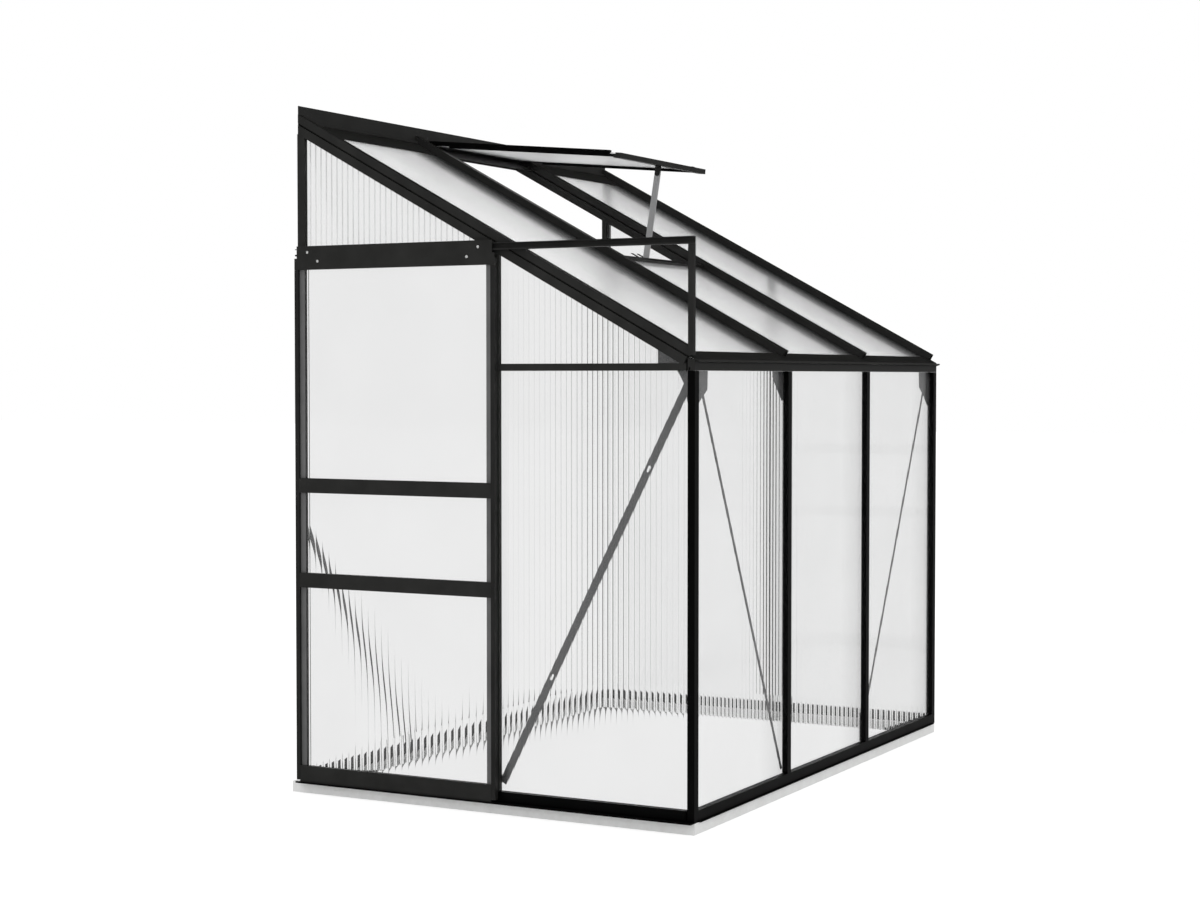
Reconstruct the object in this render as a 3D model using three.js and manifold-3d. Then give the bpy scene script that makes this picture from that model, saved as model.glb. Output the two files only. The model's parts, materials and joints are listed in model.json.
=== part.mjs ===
// A small lean-to greenhouse: a dark aluminium frame on a pale steel base, glazed with
// twin-wall sheets, with a hanging sliding door in one gable and a hinged roof vent.
// Lengths are in millimetres. X runs along the front, Y from the front to the wall, Z up.
import * as THREE from "three";
import { mergeVertices } from "three/addons/utils/BufferGeometryUtils.js";
import Module from "manifold-3d";

const wasm = await Module();
wasm.setup();

// Whole frame
const degree = Math.PI / 180;
const frameLength = 1890;
const frameDepth = 1270;
const eavesHeight = 1252;
const ridgeStand = 48.5;
const roofAngle = 28.4 * degree;
const bays = 3;
const clearance = 0.3;
const overrun = 6;

// Glazing sheets
const sheet = 4;
const sheetInset = 14;
const sheetBite = 8.5;
const edgeGap = 0.5;

// Base channels
const baseHeight = 31;
const baseWall = 2;
const baseFlange = 40;
const baseRearReach = 27;

// Sill rails
const sillHeight = 31.5;
const sillDepth = 21;
const railWall = 2;
const sillLipReach = 7;
const guideReach = 23;
const guideLipHeight = 5;

// Posts and glazing bars
const barWidth = 25;
const barWall = 2;
const neckWidth = 8;
const lipWidth = 16;
const cornerFace = 21;
const cornerBite = 5;
const wallLip = 18;
const wallBite = 12;
const fixedBayWidth = 596;

// Rafters, eaves and ridge
const capHeight = 21.5;
const rafterDrop = 28.5;
const rafterFoot = 24;
const eavesDrop = 28.5;
const eavesFlange = 45;
const eavesChannel = 5.5;
const flangeWall = 2;
const gutterReach = 12;
const gutterDrop = 8.5;
const gutterWall = 2;
const gutterFall = 4;
const ridgeWall = 2;
const ridgeFlange = 84;
const ridgeLedge = 22;
const ridgeInset = 4;

// Gable bars
const gableBarHeight = 19.5;
const gableBarBite = 6;
const headerLift = 2;
const headerHeight = 23;

// Door track
const trackRise = 302;
const trackHeight = 20;
const trackDepth = 13.7;
const trackLip = 2.5;
const trackEndReach = 2;
const endPostWidth = 16.5;
const endPostDepth = 12;
const endPostLift = 12;

// Sliding door
const doorLap = 22;
const doorRearInset = 1;
const doorOuter = 18;
const doorInner = 1.8;
const doorBackLip = 1.6;
const doorFrontLip = 2;
const stileFace = 13;
const stileLedge = 18;
const doorBite = 6;
const doorFoot = 41;
const doorFinReach = 7;
const doorRailHeight = 42;
const doorRailFace = 7.7;
const lowerRailFoot = 600;
const upperRailFoot = 873.5;
const topRailDrop = 39.5;
const topRailHeight = 19.5;
const hangerRise = 28;
const hangerShoulderDrop = 7;
const hangerWall = 2;
const hangerStep = 8;
const wheelRadius = 7.7;
const wheelWidth = 6;
const wheelInset = 45;
const wheelLift = 0.2;
const axleRadius = 2.5;
const axleGap = 0.4;
const axleReach = 12;

// Roof vent
const ventOpen = 23.1 * degree;
const ventDip = 0.76 * degree;
const ventLength = 697;
const ventGap = 3;
const ventFall = 8;
const ventHeight = 13;
const ventFrontDrop = 9;
const ventSkirt = 6.5;
const ventSkirtWall = 3;
const ventSkirtStart = 90;
const ventHingeBar = 16;
const ventSideBar = 14;
const ventFrontBar = 25;
const ventBottomLip = 2;
const ventBite = 6;
const ventNotch = 15;
const knuckleRadius = 7;
const knuckleGap = 0.5;
const hingeInset = 19;
const hingeLift = 13.2;
const cradleRise = 15 * degree;
const cradleStop = 12 * degree;

// Vent sill and stay
const ventSillCover = 8;
const ventSillBox = 18;
const ventSillBite = 10;
const ventSillReach = 99;
const ventSillWall = 2;
const ventLedgeBite = 13;
const ventLedgeShort = 16;
const tongueWidth = 52;
const stayWidth = 20;
const stayThickness = 4;
const stayDrop = 40;
const stayInset = 22;
const stayFootReach = 42;
const stayFootLift = 4;
const stayNotch = 28;
const cheekThickness = 3;
const cheekWidth = 16;
const pivotRadius = 3;
const pegRadius = 3;

// Braces and gussets
const braceWidth = 21.5;
const frontBraceWidth = 8;
const braceThickness = 3;
const gussetLong = 92;
const gussetTall = 112;
const gussetNose = 50;
const gableGussetLong = 44;
const gableGussetWaist = 25;
const gableGussetFoot = 8;
const gableGussetBend = 33;
const gussetEar = 102;
const gussetEarLift = 16;
const gussetEarDrop = 18;
const postGussetLong = 91;
const postGussetTall = 84;
const postGussetEdge = 17;
const gableBraceFoot = 84;
const gableBraceInset = 9.5;
const gableBossInset = 2;
const gableBossLift = 7;
const bossRadius = 3;
const gableBraceReach = 33;
const gableBraceDrop = 37.5;
const frontBraceFoot = 76;
const frontBraceInset = 11;
const frontBraceReach = 65;
const frontBraceDrop = 9.5;
const lastBraceFoot = 84;
const lastBraceReach = 45;
const wallBraceTop = 783;
const wallBraceReach = 580;
const wallBraceInset = 10;
const slotLong = 20;
const slotWide = 8;
const slotShares = [0.275, 0.797];

// Heights and places that follow from the sizes above
const cos = Math.cos(roofAngle);
const sin = Math.sin(roofAngle);
const slotFront = sheetInset - clearance;
const slotBack = sheetInset + sheet + clearance;
const sillBottom = baseHeight + clearance;
const sillTop = sillBottom + sillHeight;
const eavesBottom = eavesHeight - eavesDrop;
const ridgeTop = eavesHeight + (frameDepth * sin) / cos + ridgeStand;
const trackBottom = eavesHeight + trackRise;
const headerBottom = trackBottom + headerLift;
const topRailFoot = trackBottom - topRailDrop;
const hangerTop = trackBottom + hangerRise;
const hangerShoulder = trackBottom - hangerShoulderDrop;
const endPostFoot = eavesHeight + endPostLift;
const frontBraceTop = eavesBottom - frontBraceDrop;
const bayPitch = (frameLength - barWidth) / bays;
const barMiddles = Array.from({ length: bays + 1 }, (_, i) => barWidth / 2 + i * bayPitch);
const wallPostFront = frameDepth - barWidth;
const centrePostRear = fixedBayWidth + barWidth;
const centrePostMiddle = fixedBayWidth + barWidth / 2;
const ridgeFront = frameDepth - ridgeWall;

// A point of the roof: s up the slope and n above the top plane of the roof sheets.
function roofPoint(s, n) {
  return [s * cos - n * sin, eavesHeight + s * sin + n * cos];
}

// The height of the roof plane lifted by n, at depth y.
function roofHeight(y, n) {
  return eavesHeight + (n + y * sin) / cos;
}

// How far up the slope the roof plane lifted by n reaches depth y.
function slopeAt(y, n) {
  return (y + n * sin) / cos;
}

const hingeS = slopeAt(frameDepth - hingeInset, hingeLift);
const [hingeY, hingeZ] = roofPoint(hingeS, hingeLift);
const ventTilt = roofAngle - ventOpen;
const ventTipS = hingeS - ventLength * Math.cos(ventDip);
const ledgeEnd = ventTipS + ventLedgeBite;
const ventClosedDrop = ventLength * Math.sin(ventDip) + ventFall + ventFrontDrop;
const ledgeTop = hingeLift - ventClosedDrop - clearance;
const ventSillStart = ledgeEnd - ventSillReach;
const ventMiddle = (barMiddles[1] + barMiddles[2]) / 2;
const ventLeft = barMiddles[1] + barWidth / 2 + ventGap;
const ventRight = barMiddles[2] - barWidth / 2 - ventGap;
const doorFront = centrePostRear - doorLap;
const doorRear = frameDepth - doorRearInset;
const doorSlotBack = doorInner + doorBackLip;
const doorSlotFront = doorSlotBack + sheet + 2 * clearance;
const ledgeFace = doorSlotFront + doorFrontLip;

// Finishes
const darkAluminium = { color: 0x282826, roughness: 0.5, metalness: 0.3 };
const paleSteel = { color: 0xc6c8ca, roughness: 0.45, metalness: 0.5 };
const twinWall = { color: 0xe6e8ea, roughness: 0.3, metalness: 0 };
const greyAluminium = { color: 0x86898b, roughness: 0.4, metalness: 0.7 };
const darkNylon = { color: 0x1c1c1c, roughness: 0.6, metalness: 0 };

// Shapes

// A closed outline with holes; each is a list of points, in either direction.
function shapeOf(outline, holes = []) {
  const points = outline.map(([a, b]) => new THREE.Vector2(a, b));
  if (THREE.ShapeUtils.isClockWise(points)) points.reverse();
  const shape = new THREE.Shape(points);
  for (const hole of holes) {
    shape.holes.push(new THREE.Path(hole.map(([a, b]) => new THREE.Vector2(a, b))));
  }
  return shape;
}

// The four corners of a rectangle.
function rectangle(a0, b0, a1, b1) {
  return [[a0, b0], [a1, b0], [a1, b1], [a0, b1]];
}

// Points on an arc round a middle, both ends included.
function arcPoints(a, b, radius, from, to, steps) {
  return Array.from({ length: steps + 1 }, (_, i) => {
    const angle = from + ((to - from) * i) / steps;
    return [a + radius * Math.cos(angle), b + radius * Math.sin(angle)];
  });
}

// A full circle of points.
function circle(a, b, radius, steps = 24) {
  return arcPoints(a, b, radius, 0, 2 * Math.PI, steps).slice(0, steps);
}

// A straight strip with square ends between two points.
function strip([a0, b0], [a1, b1], width) {
  const length = Math.hypot(a1 - a0, b1 - b0);
  const across = [(-(b1 - b0) / length) * (width / 2), ((a1 - a0) / length) * (width / 2)];
  return [
    [a0 + across[0], b0 + across[1]],
    [a0 - across[0], b0 - across[1]],
    [a1 - across[0], b1 - across[1]],
    [a1 + across[0], b1 + across[1]],
  ];
}

// Extrudes a shape by one step and puts each corner where place says. An end may be
// a number or a function of the section's point, which gives a mitred or sloped end.
function sweep(shape, near, far, place) {
  const geometry = new THREE.ExtrudeGeometry(shape, { depth: 1, steps: 1, bevelEnabled: false });
  const points = geometry.getAttribute("position");
  for (let i = 0; i < points.count; i += 1) {
    const a = points.getX(i);
    const b = points.getY(i);
    const end = points.getZ(i) < 1 / 2 ? near : far;
    const along = typeof end === "function" ? end(a, b) : end;
    points.setXYZ(i, ...place(a, b, along));
  }
  geometry.deleteAttribute("normal");
  geometry.deleteAttribute("uv");
  const merged = mergeVertices(geometry);
  merged.computeVertexNormals();
  return merged;
}

// Sections in (y, z) along X, in (x, z) along Y, in (x, y) along Z, and in (x, n) up the roof.
const alongX = (shape, from, to) => sweep(shape, from, to, (a, b, t) => [t, a, b]);
const alongY = (shape, from, to) => sweep(shape, to, from, (a, b, t) => [a, t, b]);
const alongZ = (shape, from, to) => sweep(shape, from, to, (a, b, t) => [a, b, t]);
const upRoof = (shape, from, to) => sweep(shape, to, from, (a, b, t) => [a, ...roofPoint(t, b)]);

// Turns a geometry into a solid that can be joined and cut.
function solid(geometry) {
  const bare = new THREE.BufferGeometry();
  bare.setAttribute("position", geometry.getAttribute("position"));
  bare.setIndex(geometry.index);
  const merged = mergeVertices(bare);
  const mesh = new wasm.Mesh({
    numProp: 3,
    vertProperties: new Float32Array(merged.getAttribute("position").array),
    triVerts: new Uint32Array(merged.index.array),
  });
  return new wasm.Manifold(mesh);
}

// A solid as a geometry.
function fromSolid(body) {
  const { vertProperties, triVerts } = body.getMesh();
  const geometry = new THREE.BufferGeometry();
  geometry.setAttribute("position", new THREE.BufferAttribute(vertProperties, 3));
  geometry.setIndex(new THREE.BufferAttribute(triVerts, 1));
  geometry.computeVertexNormals();
  return geometry;
}

// Joins some geometries and cuts others from them.
function carve(joined, removed = []) {
  let body = solid(joined[0]);
  for (const part of joined.slice(1)) body = body.add(solid(part));
  for (const part of removed) body = body.subtract(solid(part));
  return fromSolid(body);
}

// One named piece of the greenhouse.
function piece(name, geometry, finish) {
  const mesh = new THREE.Mesh(geometry, new THREE.MeshStandardMaterial(finish));
  mesh.name = name;
  return mesh;
}

// Base

// A channel on its side, open towards the inside; fromOuter gives the place of a depth.
function baseSection(fromOuter) {
  const outline = [
    [0, 0],
    [baseFlange, 0],
    [baseFlange, baseWall],
    [baseWall, baseWall],
    [baseWall, baseHeight - baseWall],
    [baseFlange, baseHeight - baseWall],
    [baseFlange, baseHeight],
    [0, baseHeight],
  ];
  return shapeOf(outline.map(([depth, z]) => [fromOuter(depth), z]));
}

function basePieces() {
  const rear = frameDepth + baseRearReach;
  const fromFront = (a) => a + clearance;
  const fromRear = (a) => rear - a + clearance;
  const fromFar = (a) => frameLength - a + clearance;
  return [
    piece(
      "base_front",
      alongX(baseSection((d) => d), fromFront, (a) => frameLength - fromFront(a)),
      paleSteel,
    ),
    piece(
      "base_rear",
      alongX(baseSection((d) => rear - d), fromRear, (a) => frameLength - fromRear(a)),
      paleSteel,
    ),
    piece(
      "base_door_end",
      alongY(baseSection((d) => d), fromFront, (a) => rear - fromFront(a)),
      paleSteel,
    ),
    piece(
      "base_far_end",
      alongY(baseSection((d) => frameLength - d), fromFar, (a) => rear - fromFar(a)),
      paleSteel,
    ),
  ];
}

// Sill rails

// A rail with a slot for the sheet in its top; fromOuter gives the place of a depth.
function sillOutline(fromOuter) {
  return [
    [0, sillBottom],
    [sillDepth, sillBottom],
    [sillDepth, sillTop],
    [slotBack, sillTop],
    [slotBack, sillTop - sheetBite],
    [slotFront, sillTop - sheetBite],
    [slotFront, sillTop],
    [0, sillTop],
  ].map(([depth, z]) => [fromOuter(depth), z]);
}

function sillSection(fromOuter) {
  const hollow = rectangle(
    fromOuter(railWall),
    sillBottom + railWall,
    fromOuter(slotFront - railWall),
    sillTop - railWall,
  );
  return shapeOf(sillOutline(fromOuter), [hollow]);
}

// The lip in front of the front rail throws water clear of the base.
function frontSill() {
  const left = barWidth + clearance;
  const lip = rectangle(-sillLipReach, sillBottom, railWall / 2, sillBottom + railWall);
  const rail = alongX(sillSection((d) => d), left, frameLength - left);
  return carve([rail, alongX(shapeOf(lip), left, frameLength - left)]);
}

// The door's foot runs in a shallow channel that stands out from the rail.
function doorSill() {
  const channel = [
    [-guideReach, sillBottom],
    [railWall / 2, sillBottom],
    [railWall / 2, sillBottom + railWall],
    [-guideReach + railWall, sillBottom + railWall],
    [-guideReach + railWall, sillBottom + guideLipHeight],
    [-guideReach, sillBottom + guideLipHeight],
  ];
  const runOut = channel.map(([x, z]) => [Math.min(x, -clearance), z]);
  const from = barWidth + clearance;
  const to = wallPostFront - clearance;
  return carve([
    alongY(sillSection((d) => d), from, to),
    alongY(shapeOf(channel), from, to),
    alongY(shapeOf(runOut), 0, frameDepth),
  ]);
}

function sillPieces() {
  const from = barWidth + clearance;
  const rearOuter = (d) => frameDepth - d;
  const farOuter = (d) => frameLength - d;
  return [
    piece("sill_front", frontSill(), darkAluminium),
    piece("sill_door_end", doorSill(), darkAluminium),
    piece(
      "sill_far_end",
      alongY(sillSection(farOuter), from, wallPostFront - clearance),
      darkAluminium,
    ),
    piece("sill_rear", alongX(sillSection(rearOuter), from, frameLength - from), darkAluminium),
  ];
}

// Posts

// A bar slotted on two sides, with u across it and v inwards from its outer face. Its inner
// lip is narrower than its face and flush with the rails.
function barSection(middle, fromOuter, swap = false) {
  const half = barWidth / 2;
  const neck = neckWidth / 2;
  const lip = lipWidth / 2;
  const outline = [
    [-half, 0],
    [half, 0],
    [half, slotFront],
    [neck, slotFront],
    [neck, slotBack],
    [lip, slotBack],
    [lip, sillDepth],
    [-lip, sillDepth],
    [-lip, slotBack],
    [-neck, slotBack],
    [-neck, slotFront],
    [-half, slotFront],
  ];
  const hollow = rectangle(-half + barWall, barWall, half - barWall, slotFront - barWall);
  const put = ([u, v]) => (swap ? [fromOuter(v), middle + u] : [middle + u, fromOuter(v)]);
  return shapeOf(outline.map(put), [hollow.map(put)]);
}

// A corner post takes a sheet on each of its two sides.
function cornerSection(fromOuter) {
  const outline = [
    [0, 0],
    [barWidth, 0],
    [barWidth, slotFront],
    [barWidth - cornerBite, slotFront],
    [barWidth - cornerBite, slotBack],
    [barWidth, slotBack],
    [barWidth, sillDepth],
    [sillDepth, sillDepth],
    [sillDepth, barWidth],
    [slotBack, barWidth],
    [slotBack, cornerFace - cornerBite],
    [slotFront, cornerFace - cornerBite],
    [slotFront, cornerFace],
    [0, cornerFace],
  ];
  const hollow = rectangle(barWall, barWall, barWidth - barWall, slotFront - barWall);
  const put = ([d, y]) => [fromOuter(d), y];
  return shapeOf(outline.map(put), [hollow.map(put)]);
}

// A wall post has a flat back for the wall and one slot for the gable sheet, with a
// narrower lip on its inner side.
function wallPostSection(fromOuter) {
  const outline = [
    [0, wallPostFront],
    [slotFront, wallPostFront],
    [slotFront, wallPostFront + wallBite],
    [slotBack, wallPostFront + wallBite],
    [slotBack, frameDepth - wallLip],
    [barWidth, frameDepth - wallLip],
    [barWidth, frameDepth],
    [0, frameDepth],
  ];
  const hollow = rectangle(
    barWall,
    wallPostFront + barWall,
    slotFront - barWall,
    frameDepth - barWall,
  );
  const put = ([d, y]) => [fromOuter(d), y];
  return shapeOf(outline.map(put), [hollow.map(put)]);
}

// The underside of the rafters, a little below it, at depth y.
const underRafter = (x, y) => roofHeight(y, -rafterDrop - clearance);

function postPieces() {
  const posts = [];
  const ends = [
    ["door_end", (d) => d],
    ["far_end", (d) => frameLength - d],
  ];
  for (const [end, fromOuter] of ends) {
    posts.push(
      piece(
        `corner_post_${end}`,
        alongZ(cornerSection(fromOuter), sillBottom, eavesBottom - clearance),
        darkAluminium,
      ),
      piece(
        `wall_post_${end}`,
        alongZ(wallPostSection(fromOuter), sillBottom, underRafter),
        darkAluminium,
      ),
      piece(
        `gable_post_${end}`,
        alongZ(barSection(centrePostMiddle, fromOuter, true), sillTop + clearance, underRafter),
        darkAluminium,
      ),
    );
  }
  barMiddles.slice(1, bays).forEach((middle, i) => {
    const section = barSection(middle, (d) => d);
    const post = alongZ(section, sillTop + clearance, eavesBottom - clearance);
    posts.push(piece(`front_post_${i + 1}`, post, darkAluminium));
  });
  return posts;
}

// Roof frame

// The space of one rafter with a clearance round it, for cutting its neighbours.
function rafterSpace(middle) {
  const low = -rafterDrop - clearance;
  const high = capHeight + clearance;
  const outline = [
    roofPoint(rafterFoot - clearance, low),
    [ridgeFront, roofHeight(ridgeFront, low)],
    [ridgeFront, roofHeight(ridgeFront, high)],
    roofPoint(rafterFoot - clearance, high),
  ];
  const reach = barWidth / 2 + clearance;
  return alongX(shapeOf(outline), middle - reach, middle + reach);
}

// A rafter is a deep bar with a hollow cap above the sheets and a hollow web below them.
// The two in the gables take the top edge of the gable sheets in a groove underneath.
function rafterSection(middle, grooveSide) {
  const half = barWidth / 2;
  const neck = neckWidth / 2;
  const under = -sheet - clearance;
  const outline = [
    [-half, -rafterDrop],
    [half, -rafterDrop],
    [half, under],
    [neck, under],
    [neck, clearance],
    [half, clearance],
    [half, capHeight],
    [-half, capHeight],
    [-half, clearance],
    [-neck, clearance],
    [-neck, under],
    [-half, under],
  ];
  let webRight = half - barWall;
  if (grooveSide) {
    const near = half - slotFront;
    const far = half - slotBack;
    webRight = -near - barWall;
    outline.splice(
      1,
      0,
      [-near, -rafterDrop],
      [-near, -rafterDrop + sheetBite],
      [-far, -rafterDrop + sheetBite],
      [-far, -rafterDrop],
    );
  }
  const web = rectangle(-half + barWall, -rafterDrop + barWall, webRight, under - barWall);
  const cap = rectangle(-half + barWall, clearance + barWall, half - barWall, capHeight - barWall);
  const put = ([u, n]) => [middle + (grooveSide || 1) * u, n];
  return shapeOf(outline.map(put), [web.map(put), cap.map(put)]);
}

function rafterPieces() {
  return barMiddles.map((middle, i) => {
    const grooveSide = i === 0 ? 1 : i === bays ? -1 : 0;
    const top = (x, n) => slopeAt(ridgeFront - clearance, n);
    const bar = upRoof(rafterSection(middle, grooveSide), rafterFoot, top);
    return piece(`rafter_${i + 1}`, bar, darkAluminium);
  });
}

// The eaves beam holds the front sheets from above and the roof sheets' lower edge under
// a sloping flange, and has a small gutter on its face.
function eavesBeam() {
  const top = clearance + flangeWall;
  const under = -sheet - clearance;
  const outline = [
    [0, eavesBottom],
    [0, eavesHeight - gutterDrop],
    [-gutterReach, eavesHeight - gutterDrop + gutterFall],
    [-gutterReach, eavesHeight],
    [-gutterReach + gutterWall, eavesHeight],
    [-gutterReach + gutterWall, eavesHeight - gutterDrop + gutterFall + gutterWall],
    [0, eavesHeight - gutterDrop + gutterWall],
    [0, roofHeight(0, top)],
    roofPoint(eavesFlange, top),
    roofPoint(eavesFlange, clearance),
    roofPoint(eavesChannel, clearance),
    roofPoint(eavesChannel, under),
    [sillDepth, roofHeight(sillDepth, under)],
    [sillDepth, eavesBottom],
    [slotBack, eavesBottom],
    [slotBack, eavesBottom + sheetBite],
    [slotFront, eavesBottom + sheetBite],
    [slotFront, eavesBottom],
  ];
  return carve([alongX(shapeOf(outline), 0, frameLength)], barMiddles.map(rafterSpace));
}

// The ridge bar is an upright plate against the wall with a sloping flange over the
// sheets, a ledge under them and a cradle that carries the vent's hinge knuckle.
function ridgeBar() {
  const over = clearance + flangeWall;
  const under = -sheet - clearance;
  const cradle = arcPoints(
    hingeY,
    hingeZ,
    knuckleRadius + knuckleGap,
    cradleRise,
    roofAngle - Math.PI / 2 + cradleStop,
    6,
  );
  const [cradleY, cradleZ] = cradle[cradle.length - 1];
  const cradleS = cradleY * cos + (cradleZ - eavesHeight) * sin;
  const plateBottom = roofHeight(frameDepth, -rafterDrop) + clearance;
  const flangeEnd = slopeAt(ridgeFront, 0) - ridgeFlange;
  const ledgeStart = slopeAt(ridgeFront, 0) - ridgeLedge;
  const outline = [
    [frameDepth, plateBottom],
    [frameDepth, ridgeTop],
    [ridgeFront, ridgeTop],
    [ridgeFront, cradle[0][1]],
    ...cradle,
    roofPoint(cradleS, over),
    roofPoint(flangeEnd, over),
    roofPoint(flangeEnd, clearance),
    [ridgeFront, roofHeight(ridgeFront, clearance)],
    [ridgeFront, roofHeight(ridgeFront, under)],
    roofPoint(ledgeStart, under),
    roofPoint(ledgeStart, under - flangeWall),
    [ridgeFront, roofHeight(ridgeFront, under - flangeWall)],
    [ridgeFront, plateBottom],
  ];
  const bar = alongX(shapeOf(outline), ridgeInset, frameLength - ridgeInset);
  return carve([bar], barMiddles.map(rafterSpace));
}

// Gable bars

// The bar level with the eaves in the fixed bay has a sheet slot above and below.
function gableEavesBar() {
  const top = eavesBottom + gableBarHeight;
  const outline = [
    [0, eavesBottom],
    [slotFront, eavesBottom],
    [slotFront, eavesBottom + gableBarBite],
    [slotBack, eavesBottom + gableBarBite],
    [slotBack, eavesBottom],
    [sillDepth, eavesBottom],
    [sillDepth, top],
    [slotBack, top],
    [slotBack, top - gableBarBite],
    [slotFront, top - gableBarBite],
    [slotFront, top],
    [0, top],
  ];
  const bar = alongY(shapeOf(outline), barWidth + clearance, fixedBayWidth - clearance);
  return carve([bar], [rafterSpace(barMiddles[0])]);
}

// The header closes the top of the doorway behind the track.
function doorHeader() {
  const top = headerBottom + headerHeight;
  const outline = [
    [0, headerBottom],
    [sillDepth, headerBottom],
    [sillDepth, top],
    [slotBack, top],
    [slotBack, top - sheetBite],
    [slotFront, top - sheetBite],
    [slotFront, top],
    [0, top],
  ];
  const bar = alongY(shapeOf(outline), centrePostRear + clearance, wallPostFront - clearance);
  return carve([bar], [rafterSpace(barMiddles[0])]);
}

// Fixed sheets

const sheetFront = sillTop - sheetBite + edgeGap;

function frontSheets() {
  return barMiddles.slice(1).map((middle, i) => {
    const left = i === 0 ? barWidth - cornerBite : barMiddles[i] + neckWidth / 2;
    const right = i === bays - 1 ? frameLength - barWidth + cornerBite : middle - neckWidth / 2;
    const outline = rectangle(
      sheetInset,
      sheetFront,
      sheetInset + sheet,
      eavesBottom + sheetBite - edgeGap,
    );
    const pane = alongX(shapeOf(outline), left + edgeGap, right - edgeGap);
    return piece(`front_sheet_${i + 1}`, pane, twinWall);
  });
}

// A roof sheet from one height up the slope to another, in one bay.
function roofSheet(bay, low, high) {
  const left = barMiddles[bay] + neckWidth / 2 + edgeGap;
  const right = barMiddles[bay + 1] - neckWidth / 2 - edgeGap;
  return upRoof(shapeOf(rectangle(left, -sheet, right, 0)), low, high);
}

function roofSheets() {
  const low = eavesChannel + edgeGap;
  const high = slopeAt(ridgeFront - edgeGap, -sheet);
  const underVent = ventSillStart + ventSillBite - edgeGap;
  return [
    piece("roof_sheet_1", roofSheet(0, low, high), twinWall),
    piece("roof_sheet_2_lower", roofSheet(1, low, underVent), twinWall),
    piece("roof_sheet_3", roofSheet(2, low, high), twinWall),
  ];
}

// A gable sheet from its outline in (y, z).
function gableSheet(outline, fromOuter) {
  const faces = [fromOuter(sheetInset), fromOuter(sheetInset + sheet)];
  return alongX(shapeOf(outline), Math.min(...faces), Math.max(...faces));
}

function gableSheets() {
  const near = (d) => d;
  const far = (d) => frameLength - d;
  const inGroove = -rafterDrop + sheetBite - edgeGap;
  const front = cornerFace - cornerBite + edgeGap;
  const middleFront = centrePostMiddle - neckWidth / 2 - edgeGap;
  const middleRear = centrePostMiddle + neckWidth / 2 + edgeGap;
  const rear = wallPostFront + wallBite - edgeGap;
  const behindBeam = sillDepth + edgeGap;
  const gableTop = (y) => [y, roofHeight(y, inGroove)];
  const barSlot = eavesBottom + gableBarHeight - gableBarBite + edgeGap;
  const headerSlot = headerBottom + headerHeight - sheetBite + edgeGap;
  const headerFront = ((headerSlot - eavesHeight) * cos - inGroove) / sin;
  const underBeam = eavesBottom - clearance - edgeGap;
  const roundBeam = [
    [behindBeam, underBeam],
    [front, underBeam],
    [front, sheetFront],
    [middleFront, sheetFront],
  ];
  const fixedTop = eavesBottom + gableBarBite - edgeGap;
  const fixedLower = [...roundBeam, [middleFront, fixedTop], [behindBeam, fixedTop]];
  const fixedUpper = [
    [behindBeam, barSlot],
    [middleFront, barSlot],
    gableTop(middleFront),
    gableTop(behindBeam),
  ];
  const overDoor = [
    [Math.max(headerFront, middleRear), headerSlot],
    [rear, headerSlot],
    gableTop(rear),
  ];
  const farFront = [...roundBeam, gableTop(middleFront), gableTop(behindBeam)];
  const farRear = [
    [middleRear, sheetFront],
    [rear, sheetFront],
    gableTop(rear),
    gableTop(middleRear),
  ];
  return [
    piece("gable_sheet_fixed_lower", gableSheet(fixedLower, near), twinWall),
    piece("gable_sheet_fixed_upper", gableSheet(fixedUpper, near), twinWall),
    piece("gable_sheet_over_door", gableSheet(overDoor, near), twinWall),
    piece("far_gable_sheet_front", gableSheet(farFront, far), twinWall),
    piece("far_gable_sheet_rear", gableSheet(farRear, far), twinWall),
  ];
}

// Door track

// The track is open towards the door; a low lip keeps the wheels on it.
function trackPieces() {
  const top = trackBottom + trackHeight;
  const outer = -clearance - trackDepth;
  const outline = [
    [-clearance, trackBottom],
    [-clearance, top],
    [outer, top],
    [outer, top - railWall],
    [-clearance - railWall, top - railWall],
    [-clearance - railWall, trackBottom + railWall],
    [outer + railWall, trackBottom + railWall],
    [outer + railWall, trackBottom + railWall + trackLip],
    [outer, trackBottom + railWall + trackLip],
    [outer, trackBottom],
  ];
  const track = alongY(shapeOf(outline), -trackEndReach, frameDepth - clearance);
  const back = -clearance;
  const front = -clearance - endPostDepth;
  const low = -trackEndReach;
  const high = endPostWidth - trackEndReach;
  const post = alongZ(
    shapeOf(rectangle(front, low, back, high), [
      rectangle(front + railWall, low + railWall, back - railWall, high - railWall),
    ]),
    endPostFoot,
    trackBottom - clearance,
  );
  return [
    piece("door_track", track, darkAluminium),
    piece("track_end_post", post, darkAluminium),
  ];
}

// Sliding door

// A stile has a proud outer face and a lower ledge that holds the sheets.
function stileSection(fromEdge) {
  const reach = stileFace + stileLedge;
  const outline = [
    [-doorOuter, 0],
    [-doorOuter, stileFace],
    [-ledgeFace, stileFace],
    [-ledgeFace, reach],
    [-doorSlotFront, reach],
    [-doorSlotFront, reach - doorBite],
    [-doorSlotBack, reach - doorBite],
    [-doorSlotBack, reach],
    [-doorInner, reach],
    [-doorInner, 0],
  ];
  const hollow = rectangle(
    -doorOuter + railWall,
    railWall,
    -doorInner - railWall,
    stileFace - railWall,
  );
  const put = ([x, d]) => [x, fromEdge(d)];
  return shapeOf(outline.map(put), [hollow.map(put)]);
}

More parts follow.
